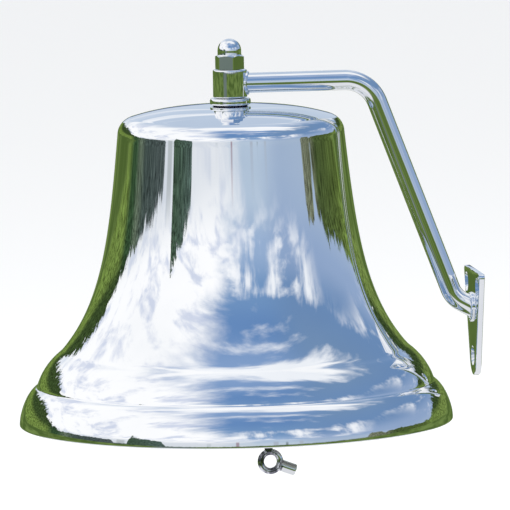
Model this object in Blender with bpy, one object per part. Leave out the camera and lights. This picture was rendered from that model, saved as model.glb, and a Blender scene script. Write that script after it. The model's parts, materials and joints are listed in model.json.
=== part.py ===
"""Ship's bell on a wall bracket: bell shell, clamped hanger, clapper and bent-bar bracket.

The origin is on the back face of the wall plate, at its centre. +X points from the bell
into the wall, +Z is up, and the bell hangs at -X. Run it with
blender --background --python part.py, or from Blender's text editor.
"""
import math

import bmesh
import bpy
from mathutils import Matrix, Vector

MM = 0.001
GAP = 0.25 * MM                 # clearance between two pieces that touch

# Where the main pieces are
BELL_X = -145.0 * MM            # the bell's upright axis
ARM_Z = 145.7 * MM              # centre line of the arm's level stretch
LIP_Z = -46.7 * MM              # level in the lip, 7 mm above its lower edge

# Bell shell, as radius and height above that level
SHELL_SEGMENTS = 56
BORE_RADIUS = 5.4 * MM          # the hanger bolt's hole in every piece that it clamps
SEAT_HEIGHT = 179.3 * MM
CROWN_THICKNESS = 5.0 * MM

# Bracket
BOSS_RADIUS = 10.0 * MM
BOSS_LENGTH = 16.5 * MM
BOSS_EDGE = 0.8 * MM
ARM_RADIUS = 5.9 * MM
ARM_SIDES = 16
UPPER_CORNER = (82.0 * MM, 0.0)             # from the bell's axis and the level stretch
LOWER_CORNER = (130.6 * MM, -130.3 * MM)
PLATE_CORNER = (141.6 * MM, -136.5 * MM)
UPPER_BEND = 20.6 * MM
LOWER_BEND = 14.7 * MM
PLATE_THICKNESS = 3.5 * MM
PLATE_EDGE = 0.5 * MM
PLATE_HEIGHT = 62.6 * MM
PLATE_TOP_WIDTH = 56.0 * MM
PLATE_FOOT_RADIUS = 11.5 * MM
PLATE_CORNER_RADIUS = 2.5 * MM
SCREW_SIDE = 19.0 * MM          # from the plate's middle to the upper screws
SCREW_TOP = 9.0 * MM            # from the plate's top edge to the upper screws
SCREW_HOLE_RADIUS = 3.3 * MM
SCREW_HEAD_RADIUS = 5.9 * MM

# Clamp stack, from the top down
NUT_ACROSS_FLATS = 15.6 * MM
NUT_HEIGHT = 8.0 * MM
DOME_RADIUS = 6.95 * MM
DOME_HEIGHT = 9.8 * MM
NUT_BORE_DEPTH = 12.0 * MM
BOLT_IN_NUT = 11.0 * MM         # how far the hanger bolt reaches into the domed nut
NUT_TURN = math.radians(-24.0)
COLLAR_RADIUS = 12.0 * MM
COLLAR_HEIGHT = 3.7 * MM
COLLAR_EDGE = 1.5 * MM
GASKET_RADIUS = 10.2 * MM
GASKET_HEIGHT = 0.4 * MM
GASKET_EDGE = 0.15 * MM
WASHER_RADIUS = 13.0 * MM
WASHER_HEIGHT = 2.0 * MM
WASHER_EDGE = 0.4 * MM
CLAMP_NUT_FLATS = 17.0 * MM
CLAMP_NUT_HEIGHT = 8.0 * MM
EYE_DROP = 2.0 * MM             # from the clamp nut down to the hanger eye

# Hanger and clapper
BOLT_RADIUS = 5.0 * MM
EYE_RADIUS = 10.0 * MM          # middle of the hanger eye's ring
EYE_WIRE = 2.75 * MM
LINK_RADIUS = 8.8 * MM
LINK_WIRE = 2.0 * MM
LOOP_RADIUS = 6.5 * MM          # the clapper's own loop
LOOP_WIRE = 2.5 * MM
ROD_RADIUS = 3.5 * MM
BALL_RADIUS = 22.0 * MM
BALL_DISTANCE = 125.0 * MM      # from the swing axis to the ball's centre
BALL_BORE_DEPTH = 14.5 * MM     # the rod's hole in the ball's top
ROD_IN_BALL = 14.0 * MM
TAIL_BORE_DEPTH = 9.5 * MM      # the tail eye's hole in the ball's foot
TAIL_IN_BALL = 9.0 * MM
TAIL_DISTANCE = 159.5 * MM      # from the swing axis to the tail eye's centre
TAIL_RADIUS = 5.7 * MM
TAIL_WIRE = 1.9 * MM
TAIL_SHANK_RADIUS = 2.5 * MM
PEG_RADIUS = 3.4 * MM
PEG_LENGTH = 16.0 * MM          # from the tail eye's centre
PEG_DROP = math.radians(21.0)   # below level, with the clapper at rest
CLAPPER_LEAN = math.radians(7.1)

CHROME = (0.80, 0.82, 0.84)
RUBBER = (0.03, 0.03, 0.032)


def clear_scene():
    for old in list(bpy.data.objects):
        bpy.data.objects.remove(old, do_unlink=True)


def material(name, colour, roughness, metallic):
    mat = bpy.data.materials.new(name)
    mat.use_nodes = True
    shader = mat.node_tree.nodes["Principled BSDF"]
    shader.inputs["Base Color"].default_value = (*colour, 1.0)
    shader.inputs["Roughness"].default_value = roughness
    shader.inputs["Metallic"].default_value = metallic
    return mat


def chrome(name, roughness=0.05):
    return material(name + "_finish", CHROME, roughness, 1.0)


def add_object(name, mesh_data, mat=None, parent=None):
    mesh = bpy.data.meshes.new(name)
    mesh_data.to_mesh(mesh)
    mesh_data.free()
    mesh.shade_smooth()
    mesh.set_sharp_from_angle(angle=math.radians(35.0))
    obj = bpy.data.objects.new(name, mesh)
    bpy.context.scene.collection.objects.link(obj)
    if mat:
        mesh.materials.append(mat)
    if parent:
        obj.parent = parent
    return obj


def joint_frame(name, location, parent=None):
    frame = bpy.data.objects.new(name, None)
    frame.location = location
    if parent:
        frame.parent = parent
    bpy.context.scene.collection.objects.link(frame)
    return frame


def combine(obj, tool, operation):
    """Join, cut or intersect obj with a hidden tool object."""
    tool.hide_render = True
    tool.display_type = "WIRE"
    modifier = obj.modifiers.new(operation.title(), "BOOLEAN")
    modifier.object = tool
    modifier.operation = operation
    modifier.solver = "EXACT"


def arc(centre, radius, start, end, steps):
    """Points along an arc, with both ends, for angles in degrees."""
    points = []
    for i in range(steps + 1):
        angle = math.radians(start + (end - start) * i / steps)
        points.append((centre[0] + radius * math.cos(angle),
                       centre[1] + radius * math.sin(angle)))
    return points


def bezier(start, handle_a, handle_b, end, steps):
    """Points along a cubic curve, with both ends."""
    points = []
    for i in range(steps + 1):
        t = i / steps
        s = 1.0 - t
        weights = (s ** 3, 3 * t * s ** 2, 3 * t * t * s, t ** 3)
        corners = (start, handle_a, handle_b, end)
        points.append(tuple(sum(w * c[k] for w, c in zip(weights, corners))
                            for k in (0, 1)))
    return points


def millimetres(points):
    return [(x * MM, z * MM) for x, z in points]


def turned(profile, segments):
    """Turn a closed outline of (radius, height) points, given clockwise from the top."""
    mesh = bmesh.new()
    rings = []
    for radius, height in profile:
        if radius < 1e-7:
            rings.append([mesh.verts.new((0.0, 0.0, height))])
            continue
        ring = []
        for i in range(segments):
            angle = 2.0 * math.pi * i / segments
            ring.append(mesh.verts.new((radius * math.cos(angle),
                                        radius * math.sin(angle), height)))
        rings.append(ring)
    for upper, lower in zip(rings, rings[1:] + rings[:1]):
        if len(upper) == 1 and len(lower) == 1:
            continue
        for i in range(segments):
            j = (i + 1) % segments
            if len(upper) == 1:
                mesh.faces.new((upper[0], lower[i], lower[j]))
            elif len(lower) == 1:
                mesh.faces.new((upper[i], lower[0], upper[j]))
            else:
                mesh.faces.new((upper[i], lower[i], lower[j], upper[j]))
    bmesh.ops.recalc_face_normals(mesh, faces=mesh.faces)
    return mesh


def washer_outline(inner, outer, height, edge):
    """Outline of a flat ring on z = 0 with rounded outer edges."""
    top = arc((outer - edge, height - edge), edge, 90, 0, 2)
    foot = arc((outer - edge, edge), edge, 0, -90, 2)
    return [(inner, height)] + top + foot + [(inner, 0.0)]


def ring_mesh(radius, wire, axis, segments=24, sides=10):
    """A torus of round wire around axis, "X" or "Y"."""
    outline = arc((radius, 0.0), wire, 0, -360 + 360 / sides, sides - 1)
    mesh = turned(outline, segments)
    turn = Matrix.Rotation(math.pi / 2, 4, "X" if axis == "Y" else "Y")
    bmesh.ops.transform(mesh, matrix=turn, verts=mesh.verts)
    return mesh


def rod_mesh(start, end, radius, sides=16):
    """A straight round rod between two points."""
    start = Vector(start)
    along = Vector(end) - start
    mesh = bmesh.new()
    bmesh.ops.create_cone(mesh, cap_ends=True, segments=sides, radius1=radius,
                          radius2=radius, depth=along.length)
    place = Matrix.Translation(start + along / 2) @ along.to_track_quat("Z", "Y").to_matrix().to_4x4()
    bmesh.ops.transform(mesh, matrix=place, verts=mesh.verts)
    return mesh


def shell_outside():
    """The bell's outer outline from the seat on the crown down to the lip."""
    crown = bezier((13.0, 179.3), (33.0, 179.3), (47.0, 177.0), (59.2, 173.2), 4)
    shoulder = arc((56.1, 163.2), 10.5, 73, 6, 4)
    waist = bezier((66.6, 163.4), (72.7, 102.5), (77.6, 64.5), (102.3, 36.2), 10)
    bead = arc((79.8, 4.3), 38.9, 52.5, 18.5, 5)
    lip = bezier((116.9, 15.9), (122.1, 12.9), (125.4, 5.2), (126.9, -1.1), 6)
    flank = bezier((126.9, -1.1), (127.28, -2.65), (127.45, -4.6), (127.55, -6.3), 2)
    return millimetres(crown + shoulder[1:] + waist + bead + lip + flank[1:])


def shell_inside():
    """The inner outline from the lip's lower edge up to the crown's underside."""
    edge = arc((126.85, -6.3), 0.7, -25, -90, 2) + arc((119.2, -3.5), 3.5, -90, -195, 3)
    mouth = bezier((114.8, -0.6), (111.0, 9.0), (104.0, 23.0), (97.0, 33.0), 3)
    waist = bezier((97.0, 33.0), (76.0, 60.0), (69.0, 102.0), (61.8, 159.0), 6)
    crown = arc((54.2, 158.0), 7.6, 8, 74, 2) + [(46.0, 167.6), (30.0, 172.0), (14.0, 174.3)]
    return millimetres(edge + mouth[1:] + waist[1:] + crown)


def make_bell_shell():
    outline = [(BORE_RADIUS, SEAT_HEIGHT)] + shell_outside() + shell_inside()
    outline.append((BORE_RADIUS, SEAT_HEIGHT - CROWN_THICKNESS))
    shell = add_object("bell_shell", turned(outline, SHELL_SEGMENTS), chrome("bell_shell", 0.03))
    shell.location = (BELL_X, 0.0, LIP_Z)


def make_stack_ring(name, outline, base_height, mat):
    """A turned ring of the clamp stack, with its underside at base_height."""
    ring = add_object(name, turned(outline, 32), mat)
    ring.location = (BELL_X, 0.0, LIP_Z + base_height)


def hex_mesh(flats, height):
    mesh = bmesh.new()
    bmesh.ops.create_cone(mesh, cap_ends=True, segments=6, radius1=flats / math.sqrt(3.0),
                          radius2=flats / math.sqrt(3.0), depth=height)
    bmesh.ops.translate(mesh, vec=(0.0, 0.0, height / 2), verts=mesh.verts)
    return mesh


def chamfer_outline(flats, height, both_ends):
    """Turned blank that takes the points off a hexagon's ends."""
    corner = flats / math.sqrt(3.0)
    drop = (corner - flats / 2) * 0.62
    foot = drop if both_ends else 0.0
    return [(0.0, height), (flats * 0.48, height), (corner * 1.01, height - drop),
            (corner * 1.01, foot), (flats * 0.48 if both_ends else corner * 1.01, 0.0), (0.0, 0.0)]


def make_hexagon(name, flats, height, both_ends, turn):
    nut = add_object(name, hex_mesh(flats, height), chrome(name))
    blank = add_object(name + "_blank", turned(chamfer_outline(flats, height, both_ends), 32),
                       parent=nut)
    blank.rotation_euler = (0.0, 0.0, math.radians(4.0))
    combine(nut, blank, "INTERSECT")
    nut.rotation_euler = (0.0, 0.0, turn)
    return nut


def make_acorn_nut():
    """Domed nut on the boss, with a blind hole for the bolt's end."""
    nut = make_hexagon("acorn_nut", NUT_ACROSS_FLATS, NUT_HEIGHT, False, NUT_TURN)
    nut.location = (BELL_X, 0.0, ARM_Z + BOSS_LENGTH / 2 + GAP)
    top = NUT_HEIGHT + DOME_HEIGHT
    outline = arc((0.0, top - DOME_RADIUS), DOME_RADIUS, 90, 0, 7)
    outline += [(DOME_RADIUS, NUT_HEIGHT - 1.0 * MM), (0.0, NUT_HEIGHT - 1.0 * MM)]
    dome = add_object("acorn_nut_dome", turned(outline, 24), parent=nut)
    combine(nut, dome, "UNION")
    bore = add_object("acorn_nut_bore", rod_mesh((0, 0, -MM), (0, 0, NUT_BORE_DEPTH), BORE_RADIUS, 24),
                      parent=nut)
    combine(nut, bore, "DIFFERENCE")


def make_clamp_nut(base_height):
    nut = make_hexagon("clamp_nut", CLAMP_NUT_FLATS, CLAMP_NUT_HEIGHT, True, 0.0)
    nut.location = (BELL_X, 0.0, LIP_Z + base_height)
    bore = add_object("clamp_nut_bore",
                      rod_mesh((0, 0, -MM), (0, 0, CLAMP_NUT_HEIGHT + MM), BORE_RADIUS, 24),
                      parent=nut)
    combine(nut, bore, "DIFFERENCE")


def make_hanger_eye_bolt(eye_height):
    """Bolt through the whole clamp stack, with the eye that carries the clapper."""
    bolt = add_object("hanger_eye_bolt", ring_mesh(EYE_RADIUS, EYE_WIRE, "Y"),
                      chrome("hanger_eye_bolt", 0.12))
    bolt.location = (BELL_X, 0.0, LIP_Z + eye_height)
    tip = ARM_Z + BOSS_LENGTH / 2 + BOLT_IN_NUT - LIP_Z - eye_height
    shank = add_object("hanger_eye_bolt_shank",
                       rod_mesh((0, 0, EYE_RADIUS), (0, 0, tip), BOLT_RADIUS, 24), parent=bolt)
    combine(bolt, shank, "UNION")


def make_boss():
    outline = washer_outline(BORE_RADIUS, BOSS_RADIUS, BOSS_LENGTH, BOSS_EDGE)
    boss = add_object("bracket_boss", turned(outline, 32), chrome("bracket_boss"))
    boss.location = (BELL_X, 0.0, ARM_Z - BOSS_LENGTH / 2)


def rounded_corner(before, corner, after, radius, steps):
    """Arc of the given radius that is tangent to both legs of a corner."""
    before, corner, after = Vector(before), Vector(corner), Vector(after)
    leg_in = (before - corner).normalized()
    leg_out = (after - corner).normalized()
    half = leg_in.angle(leg_out) / 2
    reach = radius / math.tan(half)
    centre = corner + (leg_in + leg_out).normalized() * (radius / math.sin(half))
    first = corner + leg_in * reach - centre
    last = corner + leg_out * reach - centre
    sweep = math.atan2(first.x * last.y - first.y * last.x, first.dot(last))
    points = []
    for i in range(steps + 1):
        turn = Matrix.Rotation(sweep * i / steps, 2)
        points.append(tuple(centre + turn @ first))
    return points


def arm_route():
    """The arm's centre line, from the boss's axis into the wall plate."""
    start = (0.0, 0.0)
    into_plate = (PLATE_CORNER[0] + 3.0 * MM, PLATE_CORNER[1] - 1.75 * MM)
    route = [start]
    route += rounded_corner(start, UPPER_CORNER, LOWER_CORNER, UPPER_BEND, 10)
    route += rounded_corner(UPPER_CORNER, LOWER_CORNER, into_plate, LOWER_BEND, 6)
    route.append(into_plate)
    return [Vector((x, 0.0, z)) for x, z in route]


def swept_rod(route, radius, sides):
    """Round bar along a route in the XZ plane."""
    mesh = bmesh.new()
    rings = []
    for i, point in enumerate(route):
        before = route[max(i - 1, 0)]
        after = route[min(i + 1, len(route) - 1)]
        along = ((point - before).normalized() + (after - point).normalized()).normalized()
        up = Vector((-along.z, 0.0, along.x))
        side = Vector((0.0, 1.0, 0.0))
        ring = []
        for k in range(sides):
            angle = 2.0 * math.pi * k / sides
            ring.append(mesh.verts.new(point + up * radius * math.sin(angle)
                                       + side * radius * math.cos(angle)))
        rings.append(ring)
    for first, second in zip(rings, rings[1:]):
        for k in range(sides):
            j = (k + 1) % sides
            mesh.faces.new((first[k], second[k], second[j], first[j]))
    mesh.faces.new(rings[0])
    mesh.faces.new(list(reversed(rings[-1])))
    bmesh.ops.recalc_face_normals(mesh, faces=mesh.faces)
    return mesh


def make_arm():
    """Bent round bar, coped around the boss and cut off flush with the wall plate."""
    arm = add_object("bracket_arm", swept_rod(arm_route(), ARM_RADIUS, ARM_SIDES),
                     chrome("bracket_arm"))
    arm.location = (BELL_X, 0.0, ARM_Z)
    cope = add_object("bracket_arm_cope",
                      rod_mesh((0, 0, -BOSS_LENGTH), (0, 0, BOSS_LENGTH), BOSS_RADIUS + GAP, 32),
                      parent=arm)
    combine(arm, cope, "DIFFERENCE")
    trim = bmesh.new()
    bmesh.ops.create_cube(trim, size=40.0 * MM)
    face = -BELL_X - PLATE_THICKNESS - GAP
    bmesh.ops.translate(trim, vec=(face + 20.0 * MM, 0.0, PLATE_CORNER[1]), verts=trim.verts)
    combine(arm, add_object("bracket_arm_trim", trim, parent=arm), "DIFFERENCE")


def plate_outline():
    """Shield shape in Y and Z: square top corners, straight sides and a round foot."""
    half = PLATE_TOP_WIDTH / 2
    top = PLATE_HEIGHT / 2
    foot = (0.0, -top + PLATE_FOOT_RADIUS)
    # The side is tangent to the foot's arc, so its lower end is at this angle.
    reach = math.hypot(half, top - foot[1])
    tangent = math.degrees(math.atan2(top - foot[1], half) - math.acos(PLATE_FOOT_RADIUS / reach))
    corner = (half - PLATE_CORNER_RADIUS * 1.1, top - PLATE_CORNER_RADIUS)
    right = arc(corner, PLATE_CORNER_RADIUS, 90, tangent, 4)
    round_foot = arc(foot, PLATE_FOOT_RADIUS, tangent, -180 - tangent, 16)
    left = [(-y, z) for y, z in reversed(right)]
    return right + round_foot + left


def make_wall_plate():
    plate_mesh = bmesh.new()
    verts = [plate_mesh.verts.new((-PLATE_THICKNESS, y, z)) for y, z in plate_outline()]
    face = plate_mesh.faces.new(verts)
    grown = bmesh.ops.extrude_face_region(plate_mesh, geom=[face])
    moved = [item for item in grown["geom"] if isinstance(item, bmesh.types.BMVert)]
    bmesh.ops.translate(plate_mesh, vec=(PLATE_THICKNESS, 0.0, 0.0), verts=moved)
    bmesh.ops.recalc_face_normals(plate_mesh, faces=plate_mesh.faces)
    plate = add_object("wall_plate", plate_mesh, chrome("wall_plate"))
    rounding = plate.modifiers.new("Edges", "BEVEL")
    rounding.width = PLATE_EDGE
    rounding.segments = 2
    rounding.limit_method = "ANGLE"
    rounding.angle_limit = math.radians(60.0)
    top_row = PLATE_HEIGHT / 2 - SCREW_TOP
    low_row = -PLATE_HEIGHT / 2 + PLATE_FOOT_RADIUS
    for number, (y, z) in enumerate([(-SCREW_SIDE, top_row), (SCREW_SIDE, top_row), (0.0, low_row)]):
        sink = [(0.0, MM), (SCREW_HEAD_RADIUS + MM, MM),
                (SCREW_HOLE_RADIUS, SCREW_HOLE_RADIUS - SCREW_HEAD_RADIUS),
                (SCREW_HOLE_RADIUS, -PLATE_THICKNESS - MM), (0.0, -PLATE_THICKNESS - MM)]
        hole_mesh = turned(sink, 16)
        turn = Matrix.Rotation(-math.pi / 2, 4, "Y")
        bmesh.ops.transform(hole_mesh, matrix=turn, verts=hole_mesh.verts)
        hole = add_object("wall_plate_hole_%d" % number, hole_mesh, parent=plate)
        hole.location = (-PLATE_THICKNESS, y, z)
        combine(plate, hole, "DIFFERENCE")


def make_clapper(swing):
    """Rod with a loop, ball and tail eye, all made hanging below the swing axis."""
    loop_centre = -(LOOP_RADIUS - LOOP_WIRE - LINK_WIRE - GAP)
    rod = add_object("clapper_rod", ring_mesh(LOOP_RADIUS, LOOP_WIRE, "Y", 24, 10),
                     chrome("clapper_rod", 0.12), swing)
    rod.location = (0.0, 0.0, loop_centre)
    ball_top = -BALL_DISTANCE - loop_centre + BALL_RADIUS
    shank = add_object("clapper_rod_shank",
                       rod_mesh((0, 0, -LOOP_RADIUS), (0, 0, ball_top - ROD_IN_BALL), ROD_RADIUS),
                       parent=rod)
    combine(rod, shank, "UNION")

    ball_outline = arc((0.0, 0.0), BALL_RADIUS, 90, -90, 14)
    ball = add_object("clapper_ball", turned(ball_outline, 28), chrome("clapper_ball", 0.08), swing)
    ball.location = (0.0, 0.0, -BALL_DISTANCE)
    upper = rod_mesh((0, 0, BALL_RADIUS + MM), (0, 0, BALL_RADIUS - BALL_BORE_DEPTH),
                     ROD_RADIUS + GAP)
    combine(ball, add_object("clapper_ball_upper_bore", upper, parent=ball), "DIFFERENCE")
    lower = rod_mesh((0, 0, -BALL_RADIUS - MM), (0, 0, -BALL_RADIUS + TAIL_BORE_DEPTH),
                     TAIL_SHANK_RADIUS + GAP)
    combine(ball, add_object("clapper_ball_lower_bore", lower, parent=ball), "DIFFERENCE")


def make_tail_eye(swing):
    """Small eye under the ball, with a round peg to one side for the lanyard."""
    eye = add_object("tail_eye", ring_mesh(TAIL_RADIUS, TAIL_WIRE, "Y", 20, 8),
                     chrome("tail_eye", 0.08), swing)
    eye.location = (0.0, 0.0, -TAIL_DISTANCE)
    shank_top = TAIL_DISTANCE - BALL_DISTANCE - BALL_RADIUS + TAIL_IN_BALL
    shank = rod_mesh((0, 0, TAIL_RADIUS), (0, 0, shank_top), TAIL_SHANK_RADIUS)
    combine(eye, add_object("tail_eye_shank", shank, parent=eye), "UNION")
    direction = -PEG_DROP - CLAPPER_LEAN
    along = Vector((math.cos(direction), 0.0, math.sin(direction)))
    peg = rod_mesh(along * TAIL_RADIUS, along * PEG_LENGTH, PEG_RADIUS, 16)
    combine(eye, add_object("tail_eye_peg", peg, parent=eye), "UNION")


def make_link(turn):
    add_object("clapper_link", ring_mesh(LINK_RADIUS, LINK_WIRE, "X"),
               chrome("clapper_link", 0.12), turn)


def main():
    clear_scene()
    make_wall_plate()
    make_arm()
    make_boss()
    make_acorn_nut()

    collar_base = SEAT_HEIGHT + GAP + GASKET_HEIGHT + GAP
    rubber = material("crown_gasket_finish", RUBBER, 0.7, 0.0)
    make_stack_ring("crown_collar",
                    washer_outline(BORE_RADIUS, COLLAR_RADIUS, COLLAR_HEIGHT, COLLAR_EDGE),
                    collar_base, chrome("crown_collar"))
    make_stack_ring("crown_gasket",
                    washer_outline(BORE_RADIUS, GASKET_RADIUS, GASKET_HEIGHT, GASKET_EDGE),
                    SEAT_HEIGHT + GAP, rubber)
    make_bell_shell()
    washer_base = SEAT_HEIGHT - CROWN_THICKNESS - GAP - WASHER_HEIGHT
    make_stack_ring("inner_washer",
                    washer_outline(BORE_RADIUS, WASHER_RADIUS, WASHER_HEIGHT, WASHER_EDGE),
                    washer_base, chrome("inner_washer", 0.15))
    nut_base = washer_base - GAP - CLAMP_NUT_HEIGHT
    make_clamp_nut(nut_base)
    eye_height = nut_base - EYE_DROP - EYE_RADIUS - EYE_WIRE
    make_hanger_eye_bolt(eye_height)

    link_height = eye_height - EYE_RADIUS + EYE_WIRE + GAP + LINK_WIRE - LINK_RADIUS
    turn = joint_frame("clapper_turn_frame", (BELL_X, 0.0, LIP_Z + link_height))
    make_link(turn)
    swing = joint_frame("clapper_swing_frame", (0.0, 0.0, -LINK_RADIUS), turn)
    swing.rotation_euler = (0.0, -CLAPPER_LEAN, 0.0)
    make_clapper(swing)
    make_tail_eye(swing)


main()
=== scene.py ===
"""Looks of a mirror-polished ship's bell on its wall bracket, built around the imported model."""
import json
import math

import bmesh
import bpy
from mathutils import Matrix, Vector


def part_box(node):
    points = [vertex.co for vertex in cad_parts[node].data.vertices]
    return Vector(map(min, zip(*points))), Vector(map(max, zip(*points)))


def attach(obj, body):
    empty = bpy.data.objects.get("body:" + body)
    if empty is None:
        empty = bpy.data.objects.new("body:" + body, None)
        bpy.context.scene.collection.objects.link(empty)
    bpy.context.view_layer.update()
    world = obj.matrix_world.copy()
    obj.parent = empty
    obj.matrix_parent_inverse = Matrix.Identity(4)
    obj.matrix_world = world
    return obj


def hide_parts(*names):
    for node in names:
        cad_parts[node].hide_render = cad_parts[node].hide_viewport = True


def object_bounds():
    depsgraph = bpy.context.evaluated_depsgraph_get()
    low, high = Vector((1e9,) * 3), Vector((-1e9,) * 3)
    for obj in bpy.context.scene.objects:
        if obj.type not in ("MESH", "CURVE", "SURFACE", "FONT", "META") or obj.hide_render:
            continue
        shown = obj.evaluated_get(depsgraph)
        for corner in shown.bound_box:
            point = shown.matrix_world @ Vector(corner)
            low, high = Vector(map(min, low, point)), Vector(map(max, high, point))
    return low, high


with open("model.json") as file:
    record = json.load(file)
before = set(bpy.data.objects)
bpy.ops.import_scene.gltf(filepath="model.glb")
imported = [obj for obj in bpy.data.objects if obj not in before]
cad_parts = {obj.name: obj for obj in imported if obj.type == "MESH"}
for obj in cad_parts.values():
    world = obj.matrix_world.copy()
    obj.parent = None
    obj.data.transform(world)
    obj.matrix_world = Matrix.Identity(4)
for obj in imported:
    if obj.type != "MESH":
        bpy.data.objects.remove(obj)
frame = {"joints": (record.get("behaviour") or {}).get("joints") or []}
cad_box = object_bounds()

MM = 0.001
BODY = "bell_and_bracket"

# The bell's axis and the level that its outline is measured from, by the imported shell
SHELL_LOW, SHELL_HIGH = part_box("bell_shell")
LIP_UNDER = 7.0 * MM            # the lip reaches this far below that level
AXIS = Vector(((SHELL_LOW.x + SHELL_HIGH.x) / 2, (SHELL_LOW.y + SHELL_HIGH.y) / 2,
               SHELL_LOW.z + LIP_UNDER))

PALE = (0.94, 0.945, 0.95)


# ---------------------------------------------------------------- node helpers

class Graph:
    """Short ways to add nodes to one node tree."""

    def __init__(self, tree):
        self.tree = tree

    def node(self, kind, **settings):
        made = self.tree.nodes.new(kind)
        for key, value in settings.items():
            setattr(made, key, value)
        return made

    def put(self, socket, value):
        if isinstance(value, bpy.types.NodeSocket):
            self.tree.links.new(value, socket)
        elif value is not None:
            socket.default_value = value

    def math(self, operation, a, b=None):
        made = self.node("ShaderNodeMath", operation=operation)
        self.put(made.inputs[0], a)
        self.put(made.inputs[1], b)
        return made.outputs[0]

    def vector(self, x, y, z):
        made = self.node("ShaderNodeCombineXYZ")
        for socket, value in zip(made.inputs, (x, y, z)):
            self.put(socket, value)
        return made.outputs[0]

    def split(self, vector):
        made = self.node("ShaderNodeSeparateXYZ")
        self.put(made.inputs[0], vector)
        return made.outputs

    def step(self, value, low, high, out_low=0.0, out_high=1.0):
        """Smooth step from out_low to out_high as value goes from low to high."""
        made = self.node("ShaderNodeMapRange", interpolation_type="SMOOTHSTEP")
        for socket, item in zip(made.inputs, (value, low, high, out_low, out_high)):
            self.put(socket, item)
        return made.outputs[0]

    def noise(self, vector, scale, detail, roughness, distortion=0.0):
        made = self.node("ShaderNodeTexNoise")
        self.put(made.inputs["Vector"], vector)
        self.put(made.inputs["Scale"], scale)
        self.put(made.inputs["Detail"], detail)
        self.put(made.inputs["Roughness"], roughness)
        self.put(made.inputs["Distortion"], distortion)
        return made.outputs[0]

    def mix(self, share, a, b):
        """Colour that goes from a to b as share goes from 0 to 1."""
        made = self.node("ShaderNodeMix", data_type="RGBA")
        self.put(made.inputs[0], share)
        self.put(made.inputs[6], (*a, 1.0) if isinstance(a, tuple) else a)
        self.put(made.inputs[7], (*b, 1.0) if isinstance(b, tuple) else b)
        return made.outputs[2]

    def blend(self, share, a, b):
        """Number that goes from a to b as share goes from 0 to 1."""
        made = self.node("ShaderNodeMix", data_type="FLOAT")
        self.put(made.inputs[0], share)
        self.put(made.inputs[2], a)
        self.put(made.inputs[3], b)
        return made.outputs[0]

    def ramp(self, value, stops, interpolation="EASE"):
        made = self.node("ShaderNodeValToRGB")
        made.color_ramp.interpolation = interpolation
        elements = made.color_ramp.elements
        while len(elements) < len(stops):
            elements.new(0.5)
        for element, (place, level) in zip(elements, stops):
            element.position = place
            colour = level if isinstance(level, tuple) else (level,) * 3
            element.color = (*colour, 1.0)
        self.put(made.inputs[0], value)
        return made.outputs[0]

    def bump(self, height, distance, normal=None):
        made = self.node("ShaderNodeBump")
        self.put(made.inputs["Height"], height)
        self.put(made.inputs["Distance"], distance)
        self.put(made.inputs["Normal"], normal)
        return made.outputs[0]


def new_material(name):
    """A material with its node graph, its shader and the coordinates that ride with the piece."""
    material = bpy.data.materials.new(name)
    material.use_nodes = True
    graph = Graph(material.node_tree)
    shader = material.node_tree.nodes["Principled BSDF"]
    coordinates = graph.node("ShaderNodeTexCoord").outputs["Object"]
    return material, graph, shader, coordinates


def turning_lines(graph, coordinates, pitch):
    """Height of fine lathe lines that run round the Z axis."""
    x, y, z = graph.split(coordinates)
    radius = graph.math("SQRT", graph.math("ADD", graph.math("MULTIPLY", x, x),
                                           graph.math("MULTIPLY", y, y)))
    along = graph.math("ADD", graph.math("MULTIPLY", radius, 1.0 / pitch),
                       graph.math("MULTIPLY", z, 1.0 / pitch))
    return graph.noise(graph.vector(along, 0.0, 0.0), 1.0, 3.0, 0.7)


def polished_metal(name, bright, dark, smooth, worn, wave, wave_distance, lines):
    """Plated and buffed metal: soft unevenness, faint lathe lines and dull hand marks."""
    material, graph, shader, where = new_material(name)
    shader.inputs["Metallic"].default_value = 1.0
    clouding = graph.noise(where, 14.0, 3.0, 0.6)
    tone = graph.mix(graph.step(clouding, 0.35, 0.75), bright, dark)
    graph.put(shader.inputs["Base Color"], tone)
    marks = graph.noise(where, 60.0, 5.0, 0.65, 0.4)
    graph.put(shader.inputs["Roughness"], graph.step(marks, 0.45, 0.8, smooth, worn))
    waves = graph.noise(where, wave, 1.5, 0.4)
    first = graph.bump(waves, wave_distance)
    second = graph.bump(turning_lines(graph, where, 0.5 * MM), lines, first)
    graph.put(shader.inputs["Normal"], second)
    return material


def bell_chrome():
    return polished_metal("bell_mirror_chrome", (0.93, 0.94, 0.95), (0.86, 0.88, 0.90),
                          0.015, 0.07, 16.0, 0.22 * MM, 0.0012 * MM)


def bracket_chrome():
    return polished_metal("bracket_mirror_chrome", (0.92, 0.93, 0.94), (0.82, 0.84, 0.86),
                          0.025, 0.10, 60.0, 0.05 * MM, 0.001 * MM)


def clapper_chrome():
    return polished_metal("clapper_chrome", (0.86, 0.87, 0.88), (0.74, 0.75, 0.77),
                          0.05, 0.18, 90.0, 0.04 * MM, 0.002 * MM)


def plated_inside():
    """The bell's inside: plated over the lathe marks, never buffed, so it stays dull."""
    material, graph, shader, where = new_material("bell_inside_plating")
    shader.inputs["Metallic"].default_value = 1.0
    stains = graph.noise(where, 22.0, 5.0, 0.6)
    graph.put(shader.inputs["Base Color"],
              graph.mix(graph.step(stains, 0.35, 0.75), (0.66, 0.67, 0.67), (0.50, 0.49, 0.46)))
    lines = turning_lines(graph, where, 0.9 * MM)
    graph.put(shader.inputs["Roughness"], graph.step(lines, 0.3, 0.7, 0.24, 0.42))
    graph.put(shader.inputs["Normal"], graph.bump(lines, 0.05 * MM))
    return material


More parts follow.
